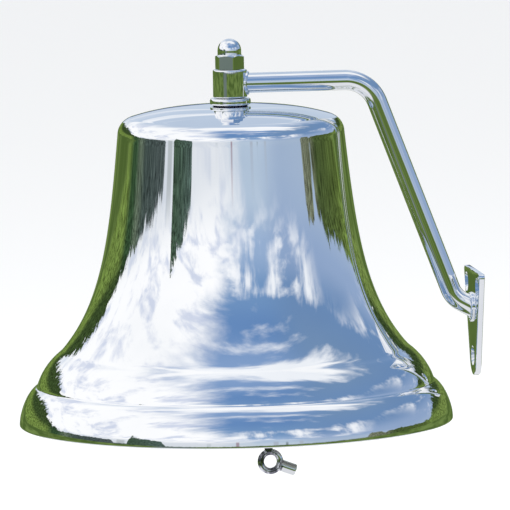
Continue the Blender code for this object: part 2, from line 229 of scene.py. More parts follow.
def satin_steel():
    """Turned steel of the bolt, the washer and the nut inside the bell."""
    material, graph, shader, where = new_material("satin_steel")
    shader.inputs["Metallic"].default_value = 1.0
    stains = graph.noise(where, 120.0, 4.0, 0.6)
    graph.put(shader.inputs["Base Color"],
              graph.mix(graph.step(stains, 0.4, 0.7), (0.68, 0.68, 0.68), (0.52, 0.51, 0.49)))
    lines = turning_lines(graph, where, 0.3 * MM)
    graph.put(shader.inputs["Roughness"], graph.step(lines, 0.3, 0.7, 0.18, 0.34))
    graph.put(shader.inputs["Normal"], graph.bump(lines, 0.01 * MM))
    return material


def packing_rubber():
    material, graph, shader, where = new_material("packing_rubber")
    grain = graph.noise(where, 900.0, 4.0, 0.6)
    tone = graph.mix(grain, (0.035, 0.04, 0.10), (0.09, 0.10, 0.18))
    graph.put(shader.inputs["Base Color"], tone)
    graph.put(shader.inputs["Roughness"], graph.step(grain, 0.3, 0.7, 0.55, 0.8))
    graph.put(shader.inputs["Normal"], graph.bump(grain, 0.05 * MM))
    return material


def painted_reflection_steel():
    """The tail eye's bare forging: a dark base colour that paints reflected dark surroundings,
    with noise patches of painted highlight that are also smoother.
    """
    material, graph, shader, where = new_material("painted_reflection_steel")
    shader.inputs["Metallic"].default_value = 1.0
    # Painted reflection and highlight: the dark colour stands for reflected dark surroundings, and
    # the bright bluish noise patches stand for glints
    painted_highlight_patches = graph.noise(where, 160.0, 5.0, 0.65)
    graph.put(shader.inputs["Base Color"],
              graph.mix(graph.step(painted_highlight_patches, 0.42, 0.60), (0.12, 0.12, 0.15), (0.86, 0.86, 0.92)))
    graph.put(shader.inputs["Roughness"], graph.step(painted_highlight_patches, 0.4, 0.7, 0.16, 0.05))
    graph.put(shader.inputs["Normal"], graph.bump(painted_highlight_patches, 0.08 * MM))
    return material


# ---------------------------------------------------------------- mesh helpers

def add_object(name, data):
    """Put an object for a mesh, a lamp or a camera into the scene."""
    made = bpy.data.objects.new(name, data)
    bpy.context.scene.collection.objects.link(made)
    return made


def add_mesh(name, mesh_data):
    """Put mesh data into the scene as an object."""
    mesh = bpy.data.meshes.new(name)
    mesh_data.to_mesh(mesh)
    mesh_data.free()
    return add_object(name, mesh)


def evaluated(holder):
    """Mesh data of an object with its modifiers applied."""
    graph = bpy.context.evaluated_depsgraph_get()
    result = bmesh.new()
    result.from_mesh(bpy.data.meshes.new_from_object(holder.evaluated_get(graph)))
    return result


def skin_rings(mesh, rings):
    """Faces between neighbouring rings of equal size."""
    for first, second in zip(rings, rings[1:]):
        for k in range(len(first)):
            j = (k + 1) % len(first)
            mesh.faces.new((first[k], second[k], second[j], first[j]))


def cap_ends(mesh, rings):
    mesh.faces.new(rings[0])
    mesh.faces.new(list(reversed(rings[-1])))


def arc(centre, radius, start, end, steps):
    """Points along an arc, with both ends, for angles in degrees."""
    points = []
    for i in range(steps + 1):
        angle = math.radians(start + (end - start) * i / steps)
        points.append((centre[0] + radius * math.cos(angle),
                       centre[1] + radius * math.sin(angle)))
    return points


def bezier(start, handle_a, handle_b, end, steps):
    """Points along a cubic curve, with both ends."""
    points = []
    for i in range(steps + 1):
        t = i / steps
        s = 1.0 - t
        weights = (s ** 3, 3 * t * s ** 2, 3 * t * t * s, t ** 3)
        corners = (start, handle_a, handle_b, end)
        points.append(tuple(sum(w * c[k] for w, c in zip(weights, corners))
                            for k in (0, 1)))
    return points


def turned(outline, segments):
    """Revolve a closed outline of (radius, height), each a number or a function of the angle."""
    mesh = bmesh.new()
    rings = []
    for radius, height in outline:
        if not callable(radius) and radius < 1e-7:
            rings.append([mesh.verts.new((0.0, 0.0, height))])
            continue
        ring = []
        for i in range(segments):
            angle = 2.0 * math.pi * i / segments
            r = radius(angle) if callable(radius) else radius
            h = height(angle) if callable(height) else height
            ring.append(mesh.verts.new((r * math.cos(angle), r * math.sin(angle), h)))
        rings.append(ring)
    for upper, lower in zip(rings, rings[1:] + rings[:1]):
        if len(upper) == 1 and len(lower) == 1:
            continue
        for i in range(segments):
            j = (i + 1) % segments
            if len(upper) == 1:
                mesh.faces.new((upper[0], lower[i], lower[j]))
            elif len(lower) == 1:
                mesh.faces.new((upper[i], lower[0], upper[j]))
            else:
                mesh.faces.new((upper[i], lower[i], lower[j], upper[j]))
    bmesh.ops.recalc_face_normals(mesh, faces=mesh.faces)
    return mesh


def tube(route, radius, sides, closed=False, ripple=None):
    """Round bar along a smooth route; ripple(i) scales the radius at point i."""
    mesh = bmesh.new()
    rings = []
    count = len(route)
    side = None
    for i, point in enumerate(route):
        before = route[i - 1] if (i or closed) else route[0]
        after = route[(i + 1) % count] if (i + 1 < count or closed) else route[-1]
        along = (after - before).normalized()
        if side is None:
            side = along.orthogonal().normalized()
        side = (side - along * side.dot(along)).normalized()
        other = along.cross(side)
        size = radius * (ripple(i) if ripple else 1.0)
        rings.append([mesh.verts.new(point + (side * math.cos(a) + other * math.sin(a)) * size)
                      for a in (2.0 * math.pi * k / sides for k in range(sides))])
    skin_rings(mesh, rings)
    if closed:
        # The frame may come back turned, so the last ring joins to the nearest start
        first, last = rings[0], rings[-1]
        shift = min(range(sides), key=lambda s: (first[s].co - last[0].co).length)
        for k in range(sides):
            a, b = (k + shift) % sides, (k + 1 + shift) % sides
            mesh.faces.new((last[k], first[a], first[b], last[(k + 1) % sides]))
    else:
        cap_ends(mesh, rings)
    bmesh.ops.recalc_face_normals(mesh, faces=mesh.faces)
    return mesh


def make_piece(name, mesh_data, material, place, node=None, body=BODY, sharp=30.0):
    """Turn mesh data into a piece that rides on a body and stands for a CAD node."""
    piece = add_mesh(name, mesh_data)
    piece.data.shade_smooth()
    piece.data.set_sharp_from_angle(angle=math.radians(sharp))
    piece.data.materials.append(material)
    piece.matrix_world = place
    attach(piece, body)
    if node:
        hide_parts(node)
    return piece


def fused(meshes, voxel, rounds):
    """Weld several closed meshes into one skin with soft fillets where they meet."""
    joined = bmesh.new()
    for part in meshes:
        holder = bpy.data.meshes.new("part")
        part.to_mesh(holder)
        part.free()
        joined.from_mesh(holder)
        bpy.data.meshes.remove(holder)
    holder = add_mesh("joined", joined)
    remesh = holder.modifiers.new("Skin", "REMESH")
    remesh.mode = "VOXEL"
    remesh.voxel_size = voxel
    smooth = holder.modifiers.new("Fillets", "SMOOTH")
    smooth.factor = 0.5
    smooth.iterations = rounds
    skin = evaluated(holder)
    bpy.data.objects.remove(holder)
    return skin


def ring_route(radius, axis, count, centre=(0.0, 0.0, 0.0)):
    """Points round a circle about axis "X" or "Y"."""
    points = []
    for i in range(count):
        a = 2.0 * math.pi * i / count
        flat = (radius * math.cos(a), radius * math.sin(a))
        point = (flat[0], 0.0, flat[1]) if axis == "Y" else (0.0, flat[0], flat[1])
        points.append(Vector(point) + Vector(centre))
    return points


# ---------------------------------------------------------------- bell shell

# Outline heights and radii in millimetres, from the level that AXIS stands on
SEAT_HEIGHT = 179.3
CROWN_THICKNESS = 5.0
BOLT_HOLE = 5.4
SHELL_SEGMENTS = 256
INSIDE = 1                      # the second material slot, for the shell's inner faces


def shell_outside():
    """Outer outline in millimetres, from the seat down to the lip, grooves rounded."""
    crown = bezier((13.0, 179.3), (33.0, 179.3), (47.0, 177.0), (59.2, 173.2), 22)
    shoulder = arc((56.1, 163.2), 10.5, 71, 7, 16)
    waist = bezier((66.6, 163.4), (72.7, 102.5), (77.6, 64.5), (102.1, 36.4), 60)
    upper_groove = [(102.9, 35.7)]
    bead = arc((79.8, 4.3), 38.9, 52, 18.5, 24)
    lower_groove = [(116.75, 16.1)]
    lip = bezier((116.95, 15.87), (122.1, 12.9), (125.4, 5.2), (126.9, -1.1), 26)
    flank = bezier((126.9, -1.1), (127.28, -2.65), (127.45, -4.6), (127.55, -6.3), 10)
    return crown + shoulder + waist + upper_groove + bead + lower_groove + lip + flank[1:]


def shell_inside():
    """Inner outline in millimetres, from under the lip up to the crown's underside."""
    edge = arc((126.85, -6.3), 0.7, -10, -90, 6) + arc((119.2, -3.5), 3.5, -90, -195, 12)
    mouth = bezier((114.8, -0.6), (111.0, 9.0), (104.0, 23.0), (97.0, 33.0), 16)
    waist = bezier((97.0, 33.0), (76.0, 60.0), (69.0, 102.0), (61.8, 159.0), 40)
    crown = arc((54.2, 158.0), 7.6, 8, 74, 8) + bezier((54.0, 166.0), (44.0, 168.5),
                                                       (30.0, 172.6), (14.0, 174.3), 12)
    return edge, mouth[1:] + waist[1:] + crown


def make_bell():
    outside = shell_outside()
    edge, inside = shell_inside()
    outline = [(BOLT_HOLE, SEAT_HEIGHT)] + outside + edge + inside
    outline.append((BOLT_HOLE, SEAT_HEIGHT - CROWN_THICKNESS))
    scaled = [(r * MM, h * MM) for r, h in outline]
    bell = make_piece("bell_shell_polished", turned(scaled, SHELL_SEGMENTS), bell_chrome(),
                      Matrix.Translation(AXIS), "bell_shell", sharp=50.0)
    bell.data.materials.append(plated_inside())
    # Faces run ring by ring along the outline, so a face's ring tells which side it is on
    first_inside = 1 + len(outside) + len(edge)
    last = len(outline)
    for number, polygon in enumerate(bell.data.polygons):
        if first_inside <= number // SHELL_SEGMENTS < last:
            polygon.material_index = INSIDE


# ---------------------------------------------------------------- clamp stack

ACORN_FLATS = 15.4 * MM
ACORN_HEX_HEIGHT = 8.0 * MM
ACORN_DOME = 6.95 * MM
ACORN_FILLET = 0.7 * MM
ACORN_BORE_DEPTH = 12.0 * MM
ACORN_TURN = math.radians(6.0)
CLAMP_FLATS = 17.0 * MM
COLLAR_RADIUS = 12.0 * MM
PACKING_RADIUS = 10.2 * MM
WASHER_RADIUS = 13.0 * MM
BOSS_RADIUS = 10.0 * MM


def place_at_axis(height):
    return Matrix.Translation((AXIS.x, AXIS.y, height))


def hexagon(flats, turn):
    """Radius of a hexagon as a function of the angle."""
    def radius(angle):
        sector = math.radians(60.0)
        local = (angle - turn + sector / 2) % sector - sector / 2
        return flats / 2 / math.cos(local)
    return radius


def hexagon_outline(flats, height, turn, foot_chamfer):
    """Side of a hexagon nut whose ends are trimmed by a cone, from the top rim down."""
    side = hexagon(flats, turn)
    rim = flats / 2 * 0.97
    slope = math.tan(math.radians(28.0))
    outline = [(rim, height), (side, lambda a: height - (side(a) - rim) * slope)]
    if foot_chamfer:
        return outline + [(side, lambda a: (side(a) - rim) * slope), (rim, 0.0)]
    return outline + [(side, 0.0)]


def make_acorn_nut(metal):
    low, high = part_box("acorn_nut")
    top = high.z - low.z
    fillet = (ACORN_DOME + ACORN_FILLET, ACORN_HEX_HEIGHT + ACORN_FILLET)
    outline = [(0.0, top)] + arc((0.0, top - ACORN_DOME), ACORN_DOME, 82, 0, 18)
    outline += arc(fillet, ACORN_FILLET, 180, 262, 5)
    outline += hexagon_outline(ACORN_FLATS, ACORN_HEX_HEIGHT, ACORN_TURN, False)
    outline += [(BOLT_HOLE * MM, 0.0), (BOLT_HOLE * MM, ACORN_BORE_DEPTH),
                (0.0, ACORN_BORE_DEPTH)]
    make_piece("acorn_nut_polished", turned(outline, 144), metal, place_at_axis(low.z),
               "acorn_nut")


def make_clamp_nut(metal):
    low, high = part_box("clamp_nut")
    outline = [(BOLT_HOLE * MM, high.z - low.z)]
    outline += hexagon_outline(CLAMP_FLATS, high.z - low.z, 0.0, True)
    outline += [(BOLT_HOLE * MM + 0.5 * MM, 0.0), (BOLT_HOLE * MM, 0.5 * MM)]
    make_piece("clamp_nut_turned", turned(outline, 144), metal, place_at_axis(low.z),
               "clamp_nut")


def washer_outline(inner, outer, height, edge):
    """Flat ring on z = 0 with rounded outer edges."""
    top = arc((outer - edge, height - edge), edge, 90, 0, 8)
    foot = arc((outer - edge, edge), edge, 0, -90, 8)
    return [(inner, height)] + top + foot + [(inner, 0.0)]


def make_stack_ring(name, node, radius, edge, metal):
    low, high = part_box(node)
    outline = washer_outline(BOLT_HOLE * MM, radius, high.z - low.z, edge)
    make_piece(name, turned(outline, 128), metal, place_at_axis(low.z), node)


def make_collar(metal):
    """Collar with a thin skirt that covers the upper part of the packing."""
    low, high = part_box("crown_collar")
    skirt_radius, skirt = PACKING_RADIUS + 0.3 * MM, 0.4 * MM
    edge, foot_edge = 1.6 * MM, 1.2 * MM
    height = high.z - low.z
    outline = [(BOLT_HOLE * MM, height)]
    outline += arc((COLLAR_RADIUS - edge, height - edge), edge, 90, 0, 8)
    outline += arc((COLLAR_RADIUS - foot_edge, foot_edge - skirt), foot_edge, 0, -90, 8)
    outline += [(skirt_radius, -skirt), (skirt_radius, 0.0), (BOLT_HOLE * MM, 0.0)]
    make_piece("crown_collar_polished", turned(outline, 128), metal, place_at_axis(low.z),
               "crown_collar")


def make_stack(chrome, steel, rubber):
    make_acorn_nut(chrome)
    make_stack_ring("bracket_boss_polished", "bracket_boss", BOSS_RADIUS, 0.9 * MM, chrome)
    make_collar(chrome)
    make_stack_ring("crown_packing", "crown_gasket", PACKING_RADIUS, 0.12 * MM, rubber)
    make_stack_ring("inner_washer_turned", "inner_washer", WASHER_RADIUS, 0.4 * MM, steel)
    make_clamp_nut(steel)


# ---------------------------------------------------------------- bracket

ARM_RADIUS = 5.9 * MM
ARM_START = 9.0 * MM            # inside the boss, from the bell's axis
UPPER_CORNER = Vector((82.0, 0.0)) * MM         # from the axis and the level stretch
LOWER_CORNER = Vector((130.6, -130.3)) * MM
ARM_DROP = 136.5 * MM           # down to where the arm meets the plate
UPPER_BEND = 20.6 * MM
LOWER_BEND = 14.7 * MM
IN_PLATE = 1.0 * MM             # how far the arm reaches into the plate
PLATE_LOW, PLATE_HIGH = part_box("wall_plate")
BOSS_LOW, BOSS_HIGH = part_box("bracket_boss")
ARM_LEVEL = (BOSS_LOW.z + BOSS_HIGH.z) / 2


def rounded_corner(before, corner, after, radius, steps):
    """Arc of the given radius that is tangent to both legs of a corner."""
    leg_in = (before - corner).normalized()
    leg_out = (after - corner).normalized()
    half = leg_in.angle(leg_out) / 2
    centre = corner + (leg_in + leg_out).normalized() * (radius / math.sin(half))
    first = corner + leg_in * radius / math.tan(half) - centre
    last = corner + leg_out * radius / math.tan(half) - centre
    sweep = math.atan2(first.x * last.y - first.y * last.x, first.dot(last))
    return [centre + Matrix.Rotation(sweep * i / steps, 2) @ first for i in range(steps + 1)]


def arm_route():
    """The arm's centre line, from inside the boss to just inside the wall plate."""
    front = Vector((PLATE_LOW.x - AXIS.x, -ARM_DROP))
    start = Vector((ARM_START, 0.0))
    flat = [start]
    flat += rounded_corner(start, UPPER_CORNER, LOWER_CORNER, UPPER_BEND, 28)
    flat += rounded_corner(UPPER_CORNER, LOWER_CORNER, front, LOWER_BEND, 16)
    flat.append(front + (front - LOWER_CORNER).normalized() * IN_PLATE)
    full = []
    for first, second in zip(flat, flat[1:]):
        pieces = max(1, int((second - first).length / (6.0 * MM)))
        full += [first.lerp(second, k / pieces) for k in range(pieces)]
    full.append(flat[-1])
    return [Vector((AXIS.x + p.x, AXIS.y, ARM_LEVEL + p.y)) for p in full]


def make_arm(metal):
    route = arm_route()
    middle = Vector((AXIS.x, AXIS.y, ARM_LEVEL))
    local = [p - middle for p in route]
    bar = tube(local, ARM_RADIUS, 64)
    tilt = (local[-1] - local[-2]).normalized()
    cut = PLATE_LOW.x - AXIS.x + IN_PLATE
    for vert in bar.verts:
        # The bar's end is cut parallel to the plate, just inside its front face
        if (vert.co - local[-1]).dot(tilt) > -0.01 * MM:
            vert.co += tilt * ((cut - vert.co.x) / tilt.x)
    make_piece("bracket_arm_polished", bar, metal, Matrix.Translation(middle), "bracket_arm",
               sharp=60.0)
    make_boss_weld(metal, middle)
    make_plate_weld(metal, route[-1] + tilt * ((PLATE_LOW.x - route[-1].x) / tilt.x), tilt)


WELD_POINTS = 72
BOSS_BEAD = 1.0 * MM
PLATE_BEAD = 1.5 * MM


def make_boss_weld(metal, middle):
    """Weld bead where the bar meets the round boss, a saddle-shaped ring."""
    reach = ARM_RADIUS + 0.2 * MM
    saddle = []
    for i in range(WELD_POINTS):
        a = 2.0 * math.pi * i / WELD_POINTS
        y, z = reach * math.cos(a), reach * math.sin(a)
        saddle.append(Vector((math.sqrt((BOSS_RADIUS + 0.2 * MM) ** 2 - y * y), y, z)))
    make_piece("boss_weld", tube(saddle, BOSS_BEAD, 16, True, weld_ripple(0.05)), metal,
               Matrix.Translation(middle))


def make_plate_weld(metal, foot, tilt):
    """Weld bead where the sloping bar meets the plate, an oval."""
    reach = ARM_RADIUS + 0.4 * MM
    tall = reach / tilt.x
    oval = []
    for i in range(WELD_POINTS):
        a = 2.0 * math.pi * i / WELD_POINTS
        oval.append(Vector((-0.3 * MM, reach * math.cos(a), tall * math.sin(a))))
    make_piece("plate_weld", tube(oval, PLATE_BEAD, 16, True, weld_ripple(0.10)), metal,
               Matrix.Translation(foot))


def weld_ripple(depth):
    """Scale of a weld bead's radius along its run, for its overlapping ripples."""
    return lambda i: 1.0 + depth * math.sin(i * 1.9) + depth * 0.5 * math.sin(i * 0.7)


PLATE_HALF_WIDTH = 28.0 * MM
PLATE_FOOT_RADIUS = 11.5 * MM
PLATE_CORNER = 2.5 * MM
PLATE_EDGE = 0.6 * MM
SCREW_SIDE = 19.0 * MM          # from the plate's middle to the upper screws
SCREW_TOP = 9.0 * MM            # from the plate's top to the upper screws
SCREW_HOLE_RADIUS = 3.3 * MM
SINK_RADIUS = 6.9 * MM          # of the countersink's cutter, 1 mm in front of the face
SINK_DEPTH = 2.6 * MM


def plate_outline(inset):
    """Shield shape in Y and Z, moved inwards by inset."""
    half = PLATE_HALF_WIDTH
    top = (PLATE_HIGH.z - PLATE_LOW.z) / 2
    foot = (0.0, -top + PLATE_FOOT_RADIUS)
    reach = math.hypot(half, top - foot[1])
    tangent = math.degrees(math.atan2(top - foot[1], half) - math.acos(PLATE_FOOT_RADIUS / reach))
    centre = (half - PLATE_CORNER * 1.1, top - PLATE_CORNER)
    right = arc(centre, PLATE_CORNER - inset, 90, tangent, 10)
    round_foot = arc(foot, PLATE_FOOT_RADIUS - inset, tangent, -180 - tangent, 40)
    left = [(-y, z) for y, z in reversed(right)]
    return right + round_foot + left


def plate_mesh():
    """Plate with rounded edges: outlines stacked through the thickness, then capped."""
    mesh = bmesh.new()
    thick = PLATE_HIGH.x - PLATE_LOW.x
    layers = []
    for a in (0, 30, 60, 90):
        angle = math.radians(a)
        layers.append((PLATE_EDGE * (1.0 - math.cos(angle)), PLATE_EDGE * (1.0 - math.sin(angle))))
    front = [(x, inset) for x, inset in layers]
    back = [(thick - x, inset) for x, inset in reversed(layers)]
    rings = []
    for x, inset in front + back:
        rings.append([mesh.verts.new((x, y, z)) for y, z in plate_outline(inset)])
    skin_rings(mesh, rings)
    cap_ends(mesh, rings)
    bmesh.ops.recalc_face_normals(mesh, faces=mesh.faces)
    return mesh


def screw_cutter(y, z, thick):
    """Shape that cuts one countersunk screw hole through the plate."""
    sink = [(0.0, MM), (SINK_RADIUS, MM), (SCREW_HOLE_RADIUS, -SINK_DEPTH),
            (SCREW_HOLE_RADIUS, -thick - MM), (0.0, -thick - MM)]
    cutter = turned(sink, 64)
    turn = Matrix.Translation((0.0, y, z)) @ Matrix.Rotation(-math.pi / 2, 4, "Y")
    bmesh.ops.transform(cutter, matrix=turn, verts=cutter.verts)
    return add_mesh("hole", cutter)


def make_plate(metal):
    middle_z = (PLATE_LOW.z + PLATE_HIGH.z) / 2
    half_height = (PLATE_HIGH.z - PLATE_LOW.z) / 2
    thick = PLATE_HIGH.x - PLATE_LOW.x
    plate = add_mesh("plate", plate_mesh())
    top_row = half_height - SCREW_TOP
    low_row = PLATE_FOOT_RADIUS - half_height
    cutters = [screw_cutter(y, z, thick) for y, z in
               ((-SCREW_SIDE, top_row), (SCREW_SIDE, top_row), (0.0, low_row))]
    for cutter in cutters:
        cut = plate.modifiers.new("Hole", "BOOLEAN")
        cut.object = cutter
        cut.operation = "DIFFERENCE"
        cut.solver = "EXACT"
    drilled = evaluated(plate)
    for item in cutters + [plate]:
        bpy.data.objects.remove(item)
    make_piece("wall_plate_polished", drilled, metal,
               Matrix.Translation((PLATE_LOW.x, 0.0, middle_z)), "wall_plate",
               sharp=25.0)


# ---------------------------------------------------------------- hanger and clapper

EYE_RADIUS = 10.0 * MM
EYE_WIRE = 2.75 * MM
BOLT_RADIUS = 5.0 * MM
LOOP_RADIUS = 6.5 * MM
LOOP_WIRE = 2.5 * MM
LOOP_DROP = 2.25 * MM           # from the swing axis to the inside of the loop's wire
ROD_RADIUS = 3.5 * MM
BALL_RADIUS = 22.0 * MM
BALL_BORE = 3.75 * MM
BALL_BORE_DEPTH = 14.5 * MM
ROD_IN_BALL = 13.5 * MM
TAIL_BORE_DEPTH = 9.5 * MM
TAIL_DISTANCE = 159.5 * MM      # from the swing axis to the tail eye's centre
TAIL_RADIUS = 5.7 * MM
TAIL_WIRE = 1.9 * MM
TAIL_SHANK_RADIUS = 2.4 * MM
TAIL_IN_BALL = 8.7 * MM
PEG_RADIUS = 3.4 * MM
# Distance from the tail eye's centre, and share of the peg's radius there
PEG_POINTS = ((11.0 * MM, 1.0), (15.2 * MM, 1.0), (15.7 * MM, 0.92), (15.9 * MM, 0.78))
PEG_DROP = math.radians(21.0)   # below level, with the clapper at rest
FORGED_VOXEL = 0.45 * MM
TAIL_VOXEL = 0.22 * MM


def make_hanger(steel):
    low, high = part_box("hanger_eye_bolt")
    eye = low.z + EYE_RADIUS + EYE_WIRE
    shank = [Vector((0, 0, z)) for z in (EYE_RADIUS * 0.95, EYE_RADIUS + 6.0 * MM)]
    shank += [Vector((0, 0, high.z - eye - 0.2 * MM))]
    parts = [tube(ring_route(EYE_RADIUS, "Y", 64), EYE_WIRE, 28, True),
             tube(shank, BOLT_RADIUS, 32)]
    make_piece("hanger_eye_bolt_forged", fused(parts, FORGED_VOXEL, 6), steel,
               Matrix.Translation((AXIS.x, AXIS.y, eye)), "hanger_eye_bolt",
               sharp=60.0)


def make_link(metal):
    low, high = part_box("clapper_link")
    wire = (high.x - low.x) / 2
    middle = (low + high) / 2
    route = ring_route((high.z - low.z) / 2 - wire, "X", 96)
    make_piece("clapper_link_polished", tube(route, wire, 32, True), metal,
               Matrix.Translation(middle), "clapper_link", "link", 60.0)


def swing_place():
    """Where the hanging clapper is: its pivot and its lean at rest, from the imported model."""
    joint = next(j for j in frame["joints"] if j["name"] == "clapper_swing")
    pivot = Vector(joint["pos_m"])
    low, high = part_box("clapper_ball")
    hang = (low + high) / 2 - pivot
    lean = math.atan2(hang.x, -hang.z)
    return Matrix.Translation(pivot) @ Matrix.Rotation(-lean, 4, "Y"), hang.length, lean


def make_clapper(metal):
    place, ball_distance, lean = swing_place()
    loop_centre = -(LOOP_RADIUS - LOOP_WIRE - LOOP_DROP)
    neck = loop_centre - LOOP_RADIUS
    rod_end = -ball_distance + BALL_RADIUS - ROD_IN_BALL
    rod = [Vector((0, 0, z)) for z in (neck + 0.5 * MM, neck - 20.0 * MM, rod_end)]
    loop = ring_route(LOOP_RADIUS, "Y", 64, (0, 0, loop_centre))
    parts = [tube(loop, LOOP_WIRE, 28, True), tube(rod, ROD_RADIUS, 32)]
    make_piece("clapper_rod_forged", fused(parts, FORGED_VOXEL, 6), metal, place,
               "clapper_rod", "clapper", 60.0)

    foot_bore = BALL_BORE - MM
    bore_top = BALL_RADIUS - BALL_BORE_DEPTH
    bore_foot = -BALL_RADIUS + TAIL_BORE_DEPTH
    outline = [(BALL_BORE, BALL_RADIUS * 0.978)] + arc((0.0, 0.0), BALL_RADIUS, 78, -80, 48)
    outline += [(foot_bore, -BALL_RADIUS * 0.985), (foot_bore, bore_foot), (0.0, bore_foot),
                (0.0, bore_top), (BALL_BORE, bore_top)]
    make_piece("clapper_ball_polished", turned(outline, 96), metal,
               place @ Matrix.Translation((0, 0, -ball_distance)), "clapper_ball", "clapper",
               50.0)
    make_tail(metal, place, lean, ball_distance + BALL_RADIUS)


def make_tail(metal, place, lean, ball_foot):
    """Small eye under the ball with its round peg, forged in one."""
    shank_top = TAIL_DISTANCE - ball_foot + TAIL_IN_BALL
    drop = -PEG_DROP - lean
    along = Vector((math.cos(drop), 0.0, math.sin(drop)))
    peg = [along * TAIL_RADIUS] + [along * distance for distance, _ in PEG_POINTS]
    sizes = [1.0] + [share for _, share in PEG_POINTS]
    shank = [Vector((0, 0, z)) for z in (TAIL_RADIUS, TAIL_RADIUS + 3.0 * MM, shank_top)]
    parts = [tube(ring_route(TAIL_RADIUS, "Y", 64), TAIL_WIRE, 24, True),
             tube(peg, PEG_RADIUS, 40, False, lambda i: sizes[i]),
             tube(shank, TAIL_SHANK_RADIUS, 28)]
    eye = make_piece("tail_eye_forged", fused(parts, TAIL_VOXEL, 5), painted_reflection_steel(),
                     place @ Matrix.Translation((0, 0, -TAIL_DISTANCE)), "tail_eye", "clapper",
                     60.0)
    # The peg is plated, so its faces take the second material slot
    eye.data.materials.append(metal)
    for polygon in eye.data.polygons:
        if polygon.center.dot(along) > TAIL_RADIUS + TAIL_WIRE:
            polygon.material_index = 1


# ---------------------------------------------------------------- camera, floor and lights

CAMERA_AZIMUTH = math.radians(-7.5)
CAMERA_ELEVATION = math.radians(6.11)
CAMERA_ROLL = math.radians(-1.08)
CAMERA_DISTANCE = 4.54
CAMERA_LENS = 545.5
AIM_BELOW_ARM = 100.0 * MM
AIM_RIGHT = 12.8 * MM
AIM_UP = -1.2 * MM
FLOOR_DROP = 0.40               # clear air under the hanging bell


def make_camera():
    data = bpy.data.cameras.new("camera")
    data.lens = CAMERA_LENS
    data.sensor_width = 36.0
    data.clip_end = 100.0
    camera = add_object("camera", data)
    back = Vector((math.sin(CAMERA_AZIMUTH) * math.cos(CAMERA_ELEVATION),
                   -math.cos(CAMERA_AZIMUTH) * math.cos(CAMERA_ELEVATION),
                   math.sin(CAMERA_ELEVATION)))
    turn = back.to_track_quat("Z", "Y").to_matrix() @ Matrix.Rotation(CAMERA_ROLL, 3, "Z")
    aim = Vector((AXIS.x, AXIS.y, ARM_LEVEL - AIM_BELOW_ARM))
    aim += turn @ Vector((AIM_RIGHT, AIM_UP, 0.0))
    camera.matrix_world = Matrix.Translation(aim + back * CAMERA_DISTANCE) @ turn.to_4x4()
    bpy.context.scene.camera = camera


def make_floor():
    floor_mesh = bmesh.new()
    bmesh.ops.create_grid(floor_mesh, x_segments=1, y_segments=1, size=40.0)
    floor = add_mesh("floor", floor_mesh)
    floor.location = (0.0, 0.0, cad_box[0].z - FLOOR_DROP)
    material = bpy.data.materials.new("pale_floor")
    material.use_nodes = True
    shader = material.node_tree.nodes["Principled BSDF"]
    shader.inputs["Base Color"].default_value = (*PALE, 1.0)
    shader.inputs["Roughness"].default_value = 0.9
    floor.data.materials.append(material)
    floor.visible_glossy = False


def make_lights():
    """Two wide soft lamps for the floor and the duller pieces."""
    for name, place, size, power in (("key", (-1.6, -2.2, 2.6), 2.2, 110.0),
                                     ("fill", (2.2, 1.0, 2.4), 2.6, 60.0)):
        data = bpy.data.lights.new(name, "AREA")
        data.size = size
        data.energy = power
        lamp = add_object(name, data)
        lamp.location = place
        lamp.rotation_euler = Vector(place).to_track_quat("Z", "Y").to_euler()
        lamp.visible_glossy = False


# ---------------------------------------------------------------- surroundings

def make_world():
    """Open-air surroundings for the reflections: ground, tree line, sky and cloud."""
    world = bpy.data.worlds.new("open_air")
    world.use_nodes = True
    bpy.context.scene.world = world
    world.node_tree.nodes.clear()
    graph = Graph(world.node_tree)
    direction = graph.node("ShaderNodeTexCoord").outputs["Generated"]
    x, y, z = graph.split(direction)
    turn = graph.math("DIVIDE", graph.math("ARCTAN2", x, graph.math("MULTIPLY", y, -1.0)),
                      2.0 * math.pi)
    around = graph.math("ADD", turn, 0.5)

    colour = sky_colour(graph, around, x, y, z)
    colour = add_posts(graph, colour, around, z)
    colour = graph.mix(tree_cover(graph, around, z), colour, tree_colour(graph, around, z))
    colour = graph.mix(graph.step(z, 0.006, -0.006), colour, ground_colour(graph, around, z))

    mirrored = graph.node("ShaderNodeLightPath").outputs["Is Glossy Ray"]
    colour = graph.mix(mirrored, PALE, colour)
    background = graph.node("ShaderNodeBackground")
    graph.put(background.inputs["Color"], colour)
    output = graph.node("ShaderNodeOutputWorld")
    graph.put(output.inputs["Surface"], background.outputs[0])


def by_turn(graph, around, stops):
    """Value that changes with the turn about Z, in degrees from the camera's side."""
    places = [((degrees + 180.0) / 360.0, level) for degrees, level in stops]
    return graph.ramp(around, places, "LINEAR")


# Where white cloud heaps stand above the horizon, by the turn about Z
HEAP_TURN = [(-12, 0.0), (2, 1.0), (28, 1.0), (38, 0.2), (46, 0.2), (56, 1.0), (80, 1.0),
             (98, 0.0)]


def clear_sky(graph, x, y, z):
    """Blue that deepens with height, duller far to the right and paler behind the bell."""
    clear = graph.ramp(z, [(0.0, (0.58, 0.67, 0.77)), (0.12, (0.48, 0.59, 0.73)),
                           (0.24, (0.33, 0.46, 0.68)), (0.42, (0.18, 0.32, 0.56)),
                           (0.70, (0.14, 0.27, 0.53)), (1.0, (0.24, 0.37, 0.62))])
    side = graph.ramp(z, [(0.0, (0.42, 0.52, 0.66)), (0.20, (0.30, 0.41, 0.62)),
                          (0.42, (0.16, 0.28, 0.50)), (1.0, (0.19, 0.30, 0.47))])
    base = graph.mix(graph.step(x, 0.25, 0.70), clear, side)
    behind = graph.math("MULTIPLY", graph.step(y, -0.05, 0.45, 0.0, 0.85),
                        graph.step(x, 0.62, 0.25))
    return graph.mix(behind, base, (0.58, 0.67, 0.80))


